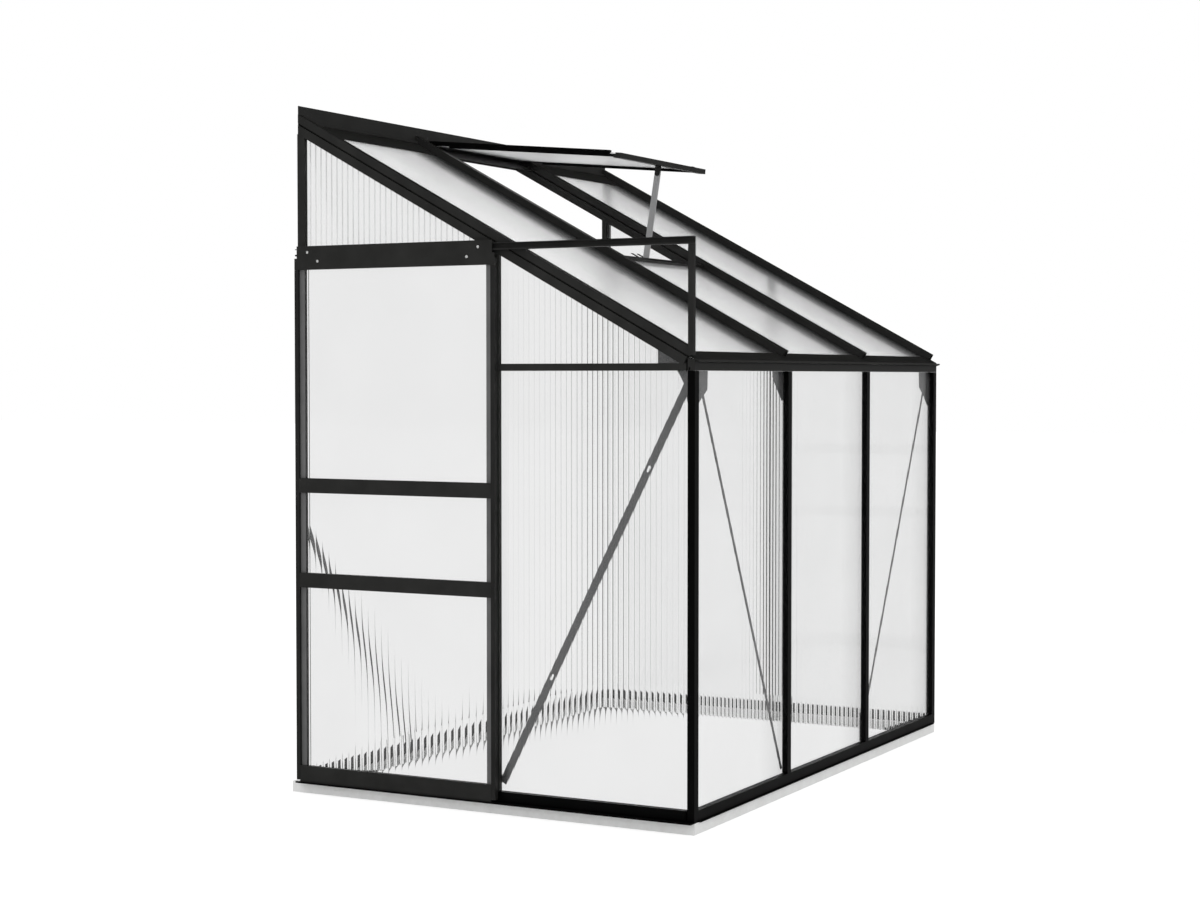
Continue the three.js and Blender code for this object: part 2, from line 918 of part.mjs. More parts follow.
// A rail's face lies over the stiles' ledges; its back, between them, holds the sheets.
function doorRail(bottom, top, slotBelow, slotAbove) {
  const faceFront = doorFront + stileFace + clearance;
  const faceRear = doorRear - stileFace - clearance;
  const backFront = faceFront + stileLedge;
  const backRear = faceRear - stileLedge;
  const face = rectangle(-doorOuter, bottom, -doorOuter + doorRailFace, top);
  const hollow = rectangle(
    -doorOuter + railWall,
    bottom + railWall,
    -doorOuter + doorRailFace - railWall,
    top - railWall,
  );
  const back = rectangle(-doorOuter + doorRailFace - railWall / 2, bottom, -doorInner, top);
  const cuts = [];
  const slot = (from, to) =>
    alongY(
      shapeOf(rectangle(-doorSlotFront, from, -doorSlotBack, to)),
      backFront - overrun,
      backRear + overrun,
    );
  if (slotBelow) cuts.push(slot(bottom - overrun, bottom + doorBite));
  if (slotAbove) cuts.push(slot(top - doorBite, top + overrun));
  return carve(
    [
      alongY(shapeOf(face, [hollow]), faceFront, faceRear),
      alongY(shapeOf(back), backFront, backRear),
    ],
    cuts,
  );
}

// The bottom rail's face reaches down into the guide channel.
function doorBottomRail() {
  const rail = doorRail(doorFoot, doorFoot + doorRailHeight, false, true);
  const fin = rectangle(
    -doorOuter,
    doorFoot - doorFinReach,
    -doorOuter + railWall,
    doorFoot + railWall / 2,
  );
  const front = doorFront + stileFace + clearance;
  return carve([rail, alongY(shapeOf(fin), front, doorRear - stileFace - clearance)]);
}

const wheelMiddleZ = trackBottom + railWall + wheelRadius + wheelLift;
const wheelMiddleX = -(clearance + railWall + (trackDepth - 2 * railWall) / 2);
const wheelPlaces = [doorFront + wheelInset + hangerStep, doorRear - wheelInset];

// The top rail carries the hanger plate, which hides the track and holds the axles.
function doorTopRail() {
  const top = topRailFoot + topRailHeight;
  const box = shapeOf([
    [-doorOuter, topRailFoot],
    [-doorSlotFront, topRailFoot],
    [-doorSlotFront, topRailFoot + doorBite],
    [-doorSlotBack, topRailFoot + doorBite],
    [-doorSlotBack, topRailFoot],
    [-doorInner, topRailFoot],
    [-doorInner, top],
    [-doorOuter, top],
  ]);
  const plate = shapeOf([
    [doorFront, topRailFoot + railWall],
    [doorRear, topRailFoot + railWall],
    [doorRear, hangerShoulder],
    [doorRear - hangerStep, hangerShoulder],
    [doorRear - hangerStep, hangerTop],
    [doorFront + hangerStep, hangerTop],
    [doorFront + hangerStep, hangerShoulder],
    [doorFront, hangerShoulder],
  ]);
  const axleStart = -doorOuter + hangerWall / 2;
  const axles = wheelPlaces.map((y) =>
    alongX(shapeOf(circle(y, wheelMiddleZ, axleRadius)), axleStart, axleStart + axleReach),
  );
  return carve([
    alongY(box, doorFront, doorRear),
    alongX(plate, -doorOuter, -doorOuter + hangerWall),
    ...axles,
  ]);
}

function doorPieces() {
  const stileTop = topRailFoot - clearance;
  const frontStile = alongZ(stileSection((d) => doorFront + d), doorFoot, stileTop);
  const rearStile = alongZ(stileSection((d) => doorRear - d), doorFoot, stileTop);
  const paneInset = stileFace + stileLedge - doorBite + edgeGap;
  const pane = (low, high) =>
    alongX(
      shapeOf(
        rectangle(
          doorFront + paneInset,
          low - doorBite + edgeGap,
          doorRear - paneInset,
          high + doorBite - edgeGap,
        ),
      ),
      -doorSlotFront + clearance,
      -doorSlotBack - clearance,
    );
  const wheels = wheelPlaces.map((y, i) => {
    const ring = shapeOf(circle(y, wheelMiddleZ, wheelRadius), [
      circle(y, wheelMiddleZ, axleRadius + axleGap),
    ]);
    const wheel = alongX(ring, wheelMiddleX - wheelWidth / 2, wheelMiddleX + wheelWidth / 2);
    return piece(`door_wheel_${i === 0 ? "front" : "rear"}`, wheel, darkNylon);
  });
  const lowerRailTop = lowerRailFoot + doorRailHeight;
  const upperRailTop = upperRailFoot + doorRailHeight;
  return [
    piece("door_stile_front", frontStile, darkAluminium),
    piece("door_stile_rear", rearStile, darkAluminium),
    piece("door_top_rail", doorTopRail(), darkAluminium),
    piece("door_rail_upper", doorRail(upperRailFoot, upperRailTop, true, true), darkAluminium),
    piece("door_rail_lower", doorRail(lowerRailFoot, lowerRailTop, true, true), darkAluminium),
    piece("door_rail_bottom", doorBottomRail(), darkAluminium),
    piece("door_sheet_top", pane(upperRailTop, topRailFoot), twinWall),
    piece("door_sheet_middle", pane(lowerRailTop, upperRailFoot), twinWall),
    piece("door_sheet_bottom", pane(doorFoot + doorRailHeight, lowerRailFoot), twinWall),
    ...wheels,
  ];
}

// Roof vent

// The vent's pieces are drawn in its own frame: origin on the hinge line, y towards the
// wall along the pane and z out of it. The group that holds them is then tilted open.
const ventBottom = -ventFall;
const ventTop = ventBottom + ventHeight;
const ventSlotLow = ventBottom + ventBottomLip;
const ventSlotHigh = ventSlotLow + sheet + 2 * clearance;

function ventHingePiece() {
  const knuckle = arcPoints(0, 0, knuckleRadius, Math.PI / 2, -Math.PI / 2, 12);
  const outline = [
    [0, ventTop],
    ...knuckle,
    [0, ventBottom],
    [-ventHingeBar, ventBottom],
    [-ventHingeBar, ventSlotLow],
    [-ventHingeBar + ventBite, ventSlotLow],
    [-ventHingeBar + ventBite, ventSlotHigh],
    [-ventHingeBar, ventSlotHigh],
    [-ventHingeBar, ventTop],
  ];
  return alongX(shapeOf(outline), ventLeft, ventRight);
}

// A side bar stops short of the front bar above the pane and reaches it below, where a
// thin skirt hangs from its outer edge.
function ventSidePiece(fromOuter) {
  const outline = [
    [0, ventBottom],
    [ventSideBar, ventBottom],
    [ventSideBar, ventSlotLow],
    [ventSideBar - ventBite, ventSlotLow],
    [ventSideBar - ventBite, ventSlotHigh],
    [ventSideBar, ventSlotHigh],
    [ventSideBar, ventTop],
    [0, ventTop],
  ].map(([d, z]) => [fromOuter(d), z]);
  const end = -(ventLength - ventFrontBar) + clearance;
  const skirtTop = ventBottom + ventBottomLip / 2;
  const skirt = rectangle(
    fromOuter(0),
    ventBottom - ventSkirt,
    fromOuter(ventSkirtWall),
    skirtTop,
  );
  const notch = rectangle(
    fromOuter(-overrun),
    ventSlotLow,
    fromOuter(ventSideBar + overrun),
    ventTop + overrun,
  );
  return carve(
    [
      alongY(shapeOf(outline), end, -ventHingeBar - clearance),
      alongY(shapeOf(skirt), end, -ventSkirtStart),
    ],
    [alongY(shapeOf(notch), end - overrun, end + ventNotch)],
  );
}

const stayPivotY = -(ventLength - stayInset);
const stayPivotZ = -stayDrop;

// The front bar lies lower than the side bars, flush with the top of the pane, and
// carries the two cheeks and the pin on which the stay swings.
function ventFrontPiece() {
  const inner = -(ventLength - ventFrontBar);
  const bottom = ventBottom - ventFrontDrop;
  const outline = [
    [-ventLength, bottom],
    [inner, bottom],
    [inner, ventSlotLow],
    [inner - ventBite, ventSlotLow],
    [inner - ventBite, ventSlotHigh],
    [-ventLength, ventSlotHigh],
  ];
  const reach = stayThickness / 2 + axleGap;
  const cheek = (from, to) => {
    const left = stayPivotY - cheekWidth / 2;
    const right = stayPivotY + cheekWidth / 2;
    const round = arcPoints(stayPivotY, stayPivotZ, cheekWidth / 2, 0, -Math.PI, 8);
    const top = bottom + ventBottomLip / 2;
    return alongX(shapeOf([[left, top], [right, top], ...round]), from, to);
  };
  const outside = reach + cheekThickness;
  const pin = alongX(
    shapeOf(circle(stayPivotY, stayPivotZ, pivotRadius, 16)),
    ventMiddle - outside + cheekThickness / 2,
    ventMiddle + outside - cheekThickness / 2,
  );
  return carve([
    alongX(shapeOf(outline), ventLeft, ventRight),
    cheek(ventMiddle - outside, ventMiddle - reach),
    cheek(ventMiddle + reach, ventMiddle + outside),
    pin,
  ]);
}

function ventGroup() {
  const group = new THREE.Group();
  group.position.set(0, hingeY, hingeZ);
  group.rotation.x = ventTilt;
  const paneEdge = ventSideBar - ventBite + edgeGap;
  const pane = alongX(
    shapeOf(
      rectangle(
        -(ventLength - ventFrontBar + ventBite - edgeGap),
        ventSlotLow + clearance,
        -ventHingeBar + ventBite - edgeGap,
        ventSlotHigh - clearance,
      ),
    ),
    ventLeft + paneEdge,
    ventRight - paneEdge,
  );
  group.add(
    piece("vent_hinge_bar", ventHingePiece(), darkAluminium),
    piece("vent_side_bar_near", ventSidePiece((d) => ventLeft + d), darkAluminium),
    piece("vent_side_bar_far", ventSidePiece((d) => ventRight - d), darkAluminium),
    piece("vent_front_bar", ventFrontPiece(), darkAluminium),
    piece("vent_sheet", pane, twinWall),
  );
  return group;
}

// The vent sill covers the top edge of the short roof sheet and drops to a ledge. A
// tongue in the middle of the ledge carries the closed vent's front bar and the peg that
// the stay's foot stands against; the stay passes through a notch in it.
const stayFootS = ledgeEnd - stayFootReach;
const stayFootN = ledgeTop + stayFootLift;
const [stayFootY, stayFootZ] = roofPoint(stayFootS, stayFootN);
const stayTopY = hingeY + stayPivotY * Math.cos(ventTilt) - stayPivotZ * Math.sin(ventTilt);
const stayTopZ = hingeZ + stayPivotY * Math.sin(ventTilt) + stayPivotZ * Math.cos(ventTilt);

function ventSill() {
  const box = ventSillStart + ventSillBox;
  const shortEnd = box + ventLedgeShort;
  const bottom = ledgeTop - ventSillWall;
  const outline = [
    [ventSillStart, clearance],
    [ventSillStart, ventSillCover],
    [box, ventSillCover],
    [box, ledgeTop],
    [shortEnd, ledgeTop],
    [shortEnd, bottom],
    [ventSillStart, bottom],
    [ventSillStart, -sheet - clearance],
    [ventSillStart + ventSillBite, -sheet - clearance],
    [ventSillStart + ventSillBite, clearance],
  ].map(([s, n]) => roofPoint(s, n));
  const left = barMiddles[1] + barWidth / 2 + clearance;
  const right = barMiddles[2] - barWidth / 2 - clearance;
  const tongue = [
    [box, bottom],
    [ledgeEnd, bottom],
    [ledgeEnd, ledgeTop],
    [box, ledgeTop],
  ].map(([s, n]) => roofPoint(s, n));
  const tongueSides = [ventMiddle - tongueWidth / 2, ventMiddle + tongueWidth / 2];
  const pegS = stayFootS - stayWidth / 2 - pegRadius - axleGap - clearance;
  const notch = [
    [pegS, bottom - overrun],
    [ledgeEnd + overrun, bottom - overrun],
    [ledgeEnd + overrun, ledgeTop + overrun],
    [pegS, ledgeTop + overrun],
  ].map(([s, n]) => roofPoint(s, n));
  const [pegY, pegZ] = roofPoint(pegS, ledgeTop + pegRadius / 2);
  const peg = alongX(shapeOf(circle(pegY, pegZ, pegRadius, 16)), ...tongueSides);
  const cut = alongX(
    shapeOf(notch),
    ventMiddle - stayNotch / 2,
    ventMiddle + stayNotch / 2,
  );
  const rail = solid(alongX(shapeOf(outline), left, right))
    .add(solid(alongX(shapeOf(tongue), ...tongueSides)))
    .subtract(solid(cut))
    .add(solid(peg));
  return fromSolid(rail);
}

// The stay is a flat bar with round ends that hangs from the front bar.
function ventStay() {
  const down = Math.atan2(stayFootZ - stayTopZ, stayFootY - stayTopY);
  const radius = stayWidth / 2;
  const quarter = Math.PI / 2;
  const outline = [
    ...arcPoints(stayTopY, stayTopZ, radius, down + quarter, down + 3 * quarter, 8),
    ...arcPoints(stayFootY, stayFootZ, radius, down - quarter, down + quarter, 8),
  ];
  const hole = circle(stayTopY, stayTopZ, pivotRadius + axleGap, 16);
  const left = ventMiddle - stayThickness / 2;
  return alongX(shapeOf(outline, [hole]), left, left + stayThickness);
}

// Braces

// A slot with round ends along a strip, at a share of its length.
function slotAlong([a0, b0], [a1, b1], share) {
  const angle = Math.atan2(b1 - b0, a1 - a0);
  const a = a0 + (a1 - a0) * share;
  const b = b0 + (b1 - b0) * share;
  const half = (slotLong - slotWide) / 2;
  const quarter = Math.PI / 2;
  const [da, db] = [Math.cos(angle) * half, Math.sin(angle) * half];
  return [
    ...arcPoints(a + da, b + db, slotWide / 2, angle - quarter, angle + quarter, 6),
    ...arcPoints(a - da, b - db, slotWide / 2, angle + quarter, angle + 3 * quarter, 6),
  ];
}

// A plate that ties the corner under the eaves, from its start along the eaves and down.
function gussetOutline(start, direction) {
  const top = eavesBottom - edgeGap;
  return [
    [0, 0],
    [gussetLong, 0],
    [gussetLong - barWall, -gussetNose],
    [gussetNose, -gussetNose - barWidth],
    [neckWidth, -gussetTall],
    [0, -gussetTall],
  ].map(([a, z]) => [start + direction * a, top + z]);
}

// The door gable's plate has an ear that runs up behind the eaves bar to the rafter.
function gableGussetOutline() {
  const start = slotBack + clearance;
  const top = eavesBottom - edgeGap;
  const behindBeam = sillDepth + edgeGap;
  const underRoof = (y) => [y, roofHeight(y, -gussetEarDrop)];
  return [
    [start, top],
    [behindBeam, top],
    underRoof(behindBeam),
    underRoof(start + gussetEar),
    [start + gussetEar, top + gussetEarLift],
    [start + gableGussetLong, top],
    [start + gableGussetWaist, top - gableGussetBend],
    [start + gableGussetFoot, top - gussetTall],
    [start, top - gussetTall],
  ];
}

// The door gable's brace lies behind the rafter, and a boss under its foot meets the post.
function gableBrace() {
  const foot = [centrePostMiddle - gableBraceInset, gableBraceFoot];
  const head = [gableBraceReach, eavesBottom - gableBraceDrop];
  const plane = barWidth + clearance;
  const plate = (outline) => alongX(shapeOf(outline), plane, plane + braceThickness);
  const bossY = centrePostMiddle - lipWidth / 2 + gableBossInset;
  const boss = shapeOf(circle(bossY, gableBraceFoot + gableBossLift, bossRadius, 16));
  return carve(
    [
      plate(strip(foot, head, braceWidth)),
      plate(gableGussetOutline()),
      alongX(boss, sillDepth + clearance, plane + braceThickness),
    ],
    slotShares.map((share) =>
      alongX(
        shapeOf(slotAlong(foot, head, share)),
        plane - overrun,
        plane + braceThickness + overrun,
      ),
    ),
  );
}

// A plate in the plane of the front braces, behind the front posts.
function frontPlate(outline) {
  const back = sillDepth + clearance;
  return alongY(shapeOf(outline), back, back + braceThickness);
}

function firstFrontBrace() {
  const start = barWidth + braceThickness + 2 * clearance;
  const foot = [barMiddles[1] - frontBraceInset, frontBraceFoot];
  const head = [frontBraceReach, frontBraceTop];
  return carve([
    frontPlate(strip(foot, head, frontBraceWidth)),
    frontPlate(gussetOutline(start, 1)),
  ]);
}

function lastFrontBrace() {
  const foot = [barMiddles[bays - 1], lastBraceFoot];
  const head = [frameLength - lastBraceReach, frontBraceTop];
  const shoe = [
    [barMiddles[bays - 1] - barWidth / 2 + barWall, sillTop + clearance],
    [barMiddles[bays - 1] + 2 * barWidth, sillTop + clearance],
    [barMiddles[bays - 1] + 2 * barWidth, sillTop + braceWidth],
    [barMiddles[bays - 1] + barWidth, sillTop + gussetLong],
    [barMiddles[bays - 1] - barWidth / 2 + barWall, sillTop + gussetLong],
  ];
  return carve([
    frontPlate(strip(foot, head, frontBraceWidth)),
    frontPlate(gussetOutline(frameLength - sillDepth - clearance, -1)),
    frontPlate(shoe),
  ]);
}

function postGusset() {
  const right = barMiddles[1] + barWidth / 2;
  const top = eavesBottom - edgeGap;
  return frontPlate([
    [right, top],
    [right - postGussetLong, top],
    [right - postGussetLong, top - postGussetEdge],
    [right - barWidth, top - postGussetTall],
    [right, top - postGussetTall],
  ]);
}

// The wall brace has its ends cut to the wall post and to the rear sill.
function wallBrace() {
  const left = barWidth + clearance;
  const low = sillTop + clearance;
  const fall = (wallBraceTop - low) / (wallBraceReach - left);
  const tall = braceWidth * Math.hypot(1, fall);
  const outline = [
    [left, wallBraceTop],
    [left, wallBraceTop - tall],
    [wallBraceReach - tall / fall, low],
    [wallBraceReach, low],
  ];
  const back = frameDepth - wallBraceInset;
  return alongY(shapeOf(outline), back - braceThickness, back);
}

function bracePieces() {
  return [
    piece("brace_door_gable", gableBrace(), greyAluminium),
    piece("brace_front_first", firstFrontBrace(), greyAluminium),
    piece("brace_front_last", lastFrontBrace(), greyAluminium),
    piece("gusset_front_post", postGusset(), greyAluminium),
    piece("brace_wall_side", wallBrace(), greyAluminium),
  ];
}

// The whole greenhouse, with its origin under the middle of its footprint
const greenhouse = new THREE.Group();
greenhouse.add(
  ...basePieces(),
  ...sillPieces(),
  ...postPieces(),
  ...rafterPieces(),
  piece("eaves_beam", eavesBeam(), darkAluminium),
  piece("ridge_bar", ridgeBar(), darkAluminium),
  piece("gable_eaves_bar", gableEavesBar(), darkAluminium),
  piece("door_header", doorHeader(), darkAluminium),
  ...frontSheets(),
  ...roofSheets(),
  ...gableSheets(),
  ...trackPieces(),
  ...doorPieces(),
  ventGroup(),
  piece("vent_sill", ventSill(), darkAluminium),
  piece("vent_stay", ventStay(), greyAluminium),
  ...bracePieces(),
);
greenhouse.position.set(
  -(frameLength - guideReach) / 2,
  -(frameDepth + baseRearReach - gutterReach) / 2,
  0,
);

export default greenhouse;
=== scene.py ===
import json
import math

import bmesh
import bpy
from mathutils import Matrix, Vector


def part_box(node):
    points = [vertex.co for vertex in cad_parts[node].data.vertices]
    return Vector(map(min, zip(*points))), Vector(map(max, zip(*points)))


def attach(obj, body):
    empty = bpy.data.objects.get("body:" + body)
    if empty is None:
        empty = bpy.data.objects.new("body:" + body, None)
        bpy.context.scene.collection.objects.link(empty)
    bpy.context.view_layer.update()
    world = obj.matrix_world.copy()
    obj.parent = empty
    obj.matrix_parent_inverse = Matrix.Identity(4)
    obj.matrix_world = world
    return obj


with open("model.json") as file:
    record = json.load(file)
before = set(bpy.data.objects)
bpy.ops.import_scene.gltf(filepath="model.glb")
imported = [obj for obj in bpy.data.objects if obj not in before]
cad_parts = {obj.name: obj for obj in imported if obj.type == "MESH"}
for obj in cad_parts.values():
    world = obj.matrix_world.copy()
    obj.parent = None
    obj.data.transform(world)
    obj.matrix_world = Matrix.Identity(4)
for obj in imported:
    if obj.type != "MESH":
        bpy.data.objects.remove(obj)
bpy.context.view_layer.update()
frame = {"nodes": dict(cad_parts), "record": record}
nodes = frame["nodes"]
mm = 0.001

# Camera
camera_place = Vector((-6.0164, -3.0775, 1.2046))
camera_heading = math.radians(28.12)
camera_dip = math.radians(1.92)
camera_lens = 64.617
sensor_width = 36
sight_length = 200

# Light
white_strength = 1.0
seen_through_strength = 0.87
room_light = 1.2
gloss_light = 0.3
gloss_side = Vector((0.86, -0.5, -0.05)).normalized()
gloss_reach = (0.8, 1.0)
sun_direction = Vector((-0.68, -0.31, -0.66)).normalized()
sun_strength = 0.8
sun_angle = math.radians(3)
floor_glow = 0.8
floor_gloss = 0.3
floor_size = 80
floor_tone = (0.8, 0.8, 0.8, 1)
floor_seen_tone = (0.3, 0.3, 0.3, 1)
white = (1, 1, 1, 1)

# Sheets
door_pitch = 22.5 * mm
over_pitch = 18.5 * mm
fixed_pitch = 16.8 * mm
front_pitches = (25 * mm, 36 * mm, 48 * mm)
roof_pitch = 21 * mm
flute_tilt = 0.11
front_tilt = 0.03
roof_tilt = 0.02
flute_curl = 0.9
wall_ior = 1.45
front_ior = 1.15
roof_ior = 1.05
wall_rough = 0.0
wall_clear = 0.98
roof_rough = 0.22
roof_clear = 0.85
vent_clear = 0.3
flute_unevenness = 0.2
lamp_tint = (0.86, 0.87, 0.88, 1)
web_steps = ((0.0, 0.0), (0.38, 0.0), (0.46, 1.0), (0.86, 1.0), (0.92, 0.0))
web_top = 90 * mm
web_lift = -0.24
front_lift = -0.4
rib_edge = 0.86
rib_milk = 0.6
# Painted shade across a sheet's width, as (place, grey) steps: the roof sheets darken towards the
# next rafter as a painted shadow of it, and the front sheets darken slightly towards the next post.
no_shade = ((0.0, 1.0), (1.0, 1.0))
front_shade = ((0.7, 1.0), (1.0, 0.84))
roof_shade = ((0.3, 1.0), (0.74, 0.84), (0.97, 0.12))

# Finishes, with painted shade on some pieces and painted light on the stiles' ledges
# Painted shade: these pieces take a near-black copy of the charcoal coat, standing in for their
# faces in deep shade.
painted_shade_starts = ("corner_post", "front_post", "sill_", "vent_side_bar")
stile_step = 4 * mm

# Fasteners
bolt_radius = 3.3 * mm
bolt_height = 1.9 * mm
washer_radius = 4.0 * mm
washer_height = 0.6 * mm
bolt_steps = 24
lower_bolt_inward = 36 * mm
lower_bolt_drop = 26 * mm


# Node trees

def new_material(name):
    """Give an empty node material with its output."""
    material = bpy.data.materials.new(name)
    material.use_nodes = True
    tree = material.node_tree
    tree.nodes.clear()
    output = tree.nodes.new("ShaderNodeOutputMaterial")
    return material, tree, output


def add(tree, kind, **settings):
    """Add a node and set its properties."""
    node = tree.nodes.new(kind)
    for key, value in settings.items():
        setattr(node, key, value)
    return node


def join(tree, source, target):
    tree.links.new(source, target)


def math_node(tree, operation, first, second=None, third=None):
    """Add a Math node on sockets or numbers and give its output."""
    node = add(tree, "ShaderNodeMath", operation=operation)
    for socket, value in zip(node.inputs, (first, second, third)):
        if value is None:
            continue
        if isinstance(value, (int, float)):
            socket.default_value = value
        else:
            join(tree, value, socket)
    return node.outputs[0]


def object_point(tree):
    """Give the surface point in the piece's own space, in metres."""
    return add(tree, "ShaderNodeTexCoord").outputs["Object"]


def noise(tree, point, scale, detail=3.0, roughness=0.5):
    node = add(tree, "ShaderNodeTexNoise")
    node.inputs["Scale"].default_value = scale
    node.inputs["Detail"].default_value = detail
    node.inputs["Roughness"].default_value = roughness
    join(tree, point, node.inputs["Vector"])
    return node.outputs["Fac"]


def stretched(tree, point, scales):
    """Scale a point along each axis, for grain that runs one way."""
    node = add(tree, "ShaderNodeMapping")
    node.inputs["Scale"].default_value = scales
    join(tree, point, node.inputs["Vector"])
    return node.outputs["Vector"]


def grey_steps(tree, value, steps):
    """Give a grey that runs through (place, grey) steps as a value grows."""
    node = add(tree, "ShaderNodeValToRGB")
    elements = node.color_ramp.elements
    for i, (place, grey) in enumerate(steps):
        element = elements[i] if i < 2 else elements.new(place)
        element.position = place
        element.color = (grey, grey, grey, 1)
    join(tree, value, node.inputs["Fac"])
    return node.outputs["Color"]


def ramp(tree, value, low, high, dark, light):
    """Blend two colours as a value goes from low to high."""
    node = add(tree, "ShaderNodeValToRGB")
    node.color_ramp.elements[0].position = low
    node.color_ramp.elements[0].color = (*dark, 1)
    node.color_ramp.elements[1].position = high
    node.color_ramp.elements[1].color = (*light, 1)
    join(tree, value, node.inputs["Fac"])
    return node.outputs["Color"]


def spread(tree, value, low, high):
    """Map a value from 0..1 to low..high."""
    node = add(tree, "ShaderNodeMapRange")
    node.inputs["To Min"].default_value = low
    node.inputs["To Max"].default_value = high
    join(tree, value, node.inputs["Value"])
    return node.outputs["Result"]


def bump(tree, height, strength, distance):
    node = add(tree, "ShaderNodeBump")
    node.inputs["Strength"].default_value = strength
    node.inputs["Distance"].default_value = distance
    join(tree, height, node.inputs["Height"])
    return node.outputs["Normal"]


# Materials

def powder_coat(name, dark, light, shine, painted_light_tone=None, painted_light_from=0.0):
    """Charcoal powder coat: fine orange peel, faint uneven gloss and dust.

    Where an inner tone is given, the faces across x that lie further in than the given depth take
    it: painted light, a lighter tone where the light falls on a recessed face.
    """
    material, tree, output = new_material(name)
    shader = add(tree, "ShaderNodeBsdfPrincipled")
    shader.inputs["Specular IOR Level"].default_value = shine
    point = object_point(tree)
    peel = noise(tree, point, 900, 2)
    cloud = noise(tree, point, 14, 4)
    tone = ramp(tree, cloud, 0.3, 0.75, dark, light)
    # Painted light: recessed faces that point along x get a lighter copy of the tone.
    if painted_light_tone:
        split = add(tree, "ShaderNodeSeparateXYZ")
        join(tree, point, split.inputs[0])
        deeper = math_node(tree, "GREATER_THAN", split.outputs["X"], painted_light_from)
        facing = add(tree, "ShaderNodeSeparateXYZ")
        join(tree, add(tree, "ShaderNodeNewGeometry").outputs["True Normal"], facing.inputs[0])
        across = math_node(tree, "ABSOLUTE", facing.outputs["X"])
        painted_light_mask = math_node(tree, "MULTIPLY", deeper, math_node(tree, "GREATER_THAN", across, 0.5))
        painted_light_strip = ramp(tree, cloud, 0.3, 0.75, painted_light_tone[0], painted_light_tone[1])
        blend = add(tree, "ShaderNodeMix", data_type="RGBA")
        join(tree, painted_light_mask, blend.inputs["Factor"])
        join(tree, tone, blend.inputs["A"])
        join(tree, painted_light_strip, blend.inputs["B"])
        tone = blend.outputs["Result"]
    join(tree, tone, shader.inputs["Base Color"])
    join(tree, spread(tree, cloud, 0.34, 0.5), shader.inputs["Roughness"])
    join(tree, bump(tree, peel, 0.25, 0.15 * mm), shader.inputs["Normal"])
    join(tree, shader.outputs[0], output.inputs["Surface"])
    return material


def galvanised_steel():
    """Pale grey sheet steel with a faint spangle and rolling marks."""
    material, tree, output = new_material("pale_steel")
    shader = add(tree, "ShaderNodeBsdfPrincipled")
    shader.inputs["Metallic"].default_value = 0.15
    point = object_point(tree)
    cells = add(tree, "ShaderNodeTexVoronoi")
    cells.inputs["Scale"].default_value = 90
    join(tree, point, cells.inputs["Vector"])
    grain = noise(tree, point, 30, 4)
    mixed = math_node(tree, "MULTIPLY_ADD", cells.outputs["Distance"], 0.35, grain)
    tone = ramp(tree, mixed, 0.3, 1.0, (0.8, 0.8, 0.79), (0.88, 0.885, 0.88))
    join(tree, tone, shader.inputs["Base Color"])
    join(tree, spread(tree, grain, 0.4, 0.6), shader.inputs["Roughness"])
    join(tree, bump(tree, grain, 0.15, 0.3 * mm), shader.inputs["Normal"])
    join(tree, shader.outputs[0], output.inputs["Surface"])
    return material


def mill_aluminium(name, dark, light):
    """Bare grey flat bar with drawn streaks and small scuffs."""
    material, tree, output = new_material(name)
    shader = add(tree, "ShaderNodeBsdfPrincipled")
    shader.inputs["Metallic"].default_value = 0.35
    point = object_point(tree)
    streak = noise(tree, stretched(tree, point, (60, 60, 4)), 6, 4)
    tone = ramp(tree, streak, 0.3, 0.75, dark, light)
    join(tree, tone, shader.inputs["Base Color"])
    join(tree, spread(tree, streak, 0.32, 0.52), shader.inputs["Roughness"])
    join(tree, bump(tree, streak, 0.12, 0.2 * mm), shader.inputs["Normal"])
    join(tree, shader.outputs[0], output.inputs["Surface"])
    return material


def bright_zinc():
    """Zinc plated fasteners, slightly mottled."""
    material, tree, output = new_material("bright_zinc")
    shader = add(tree, "ShaderNodeBsdfPrincipled")
    shader.inputs["Metallic"].default_value = 0.4
    point = object_point(tree)
    mottle = noise(tree, point, 700, 3)
    tone = ramp(tree, mottle, 0.3, 0.7, (0.7, 0.7, 0.69), (0.88, 0.88, 0.87))
    join(tree, tone, shader.inputs["Base Color"])
    join(tree, spread(tree, mottle, 0.25, 0.4), shader.inputs["Roughness"])
    join(tree, shader.outputs[0], output.inputs["Surface"])
    return material


def moulded_nylon():
    """Black moulded wheels with a fine matt grain."""
    material, tree, output = new_material("dark_nylon")
    shader = add(tree, "ShaderNodeBsdfPrincipled")
    point = object_point(tree)
    grain = noise(tree, point, 1200, 2)
    tone = ramp(tree, grain, 0.3, 0.7, (0.01, 0.01, 0.01), (0.02, 0.02, 0.02))
    join(tree, tone, shader.inputs["Base Color"])
    join(tree, spread(tree, grain, 0.5, 0.65), shader.inputs["Roughness"])
    join(tree, bump(tree, grain, 0.2, 0.1 * mm), shader.inputs["Normal"])
    join(tree, shader.outputs[0], output.inputs["Surface"])
    return material


def flute_places(tree, point, axis, pitch):
    """Give the count of flutes up to a point and its place across its flute, from 1 to -1."""
    split = add(tree, "ShaderNodeSeparateXYZ")
    join(tree, point, split.inputs[0])
    count = math_node(tree, "MULTIPLY", split.outputs[axis], 1 / pitch)
    share = math_node(tree, "FRACT", count)
    return count, math_node(tree, "MULTIPLY_ADD", share, -2, 1)


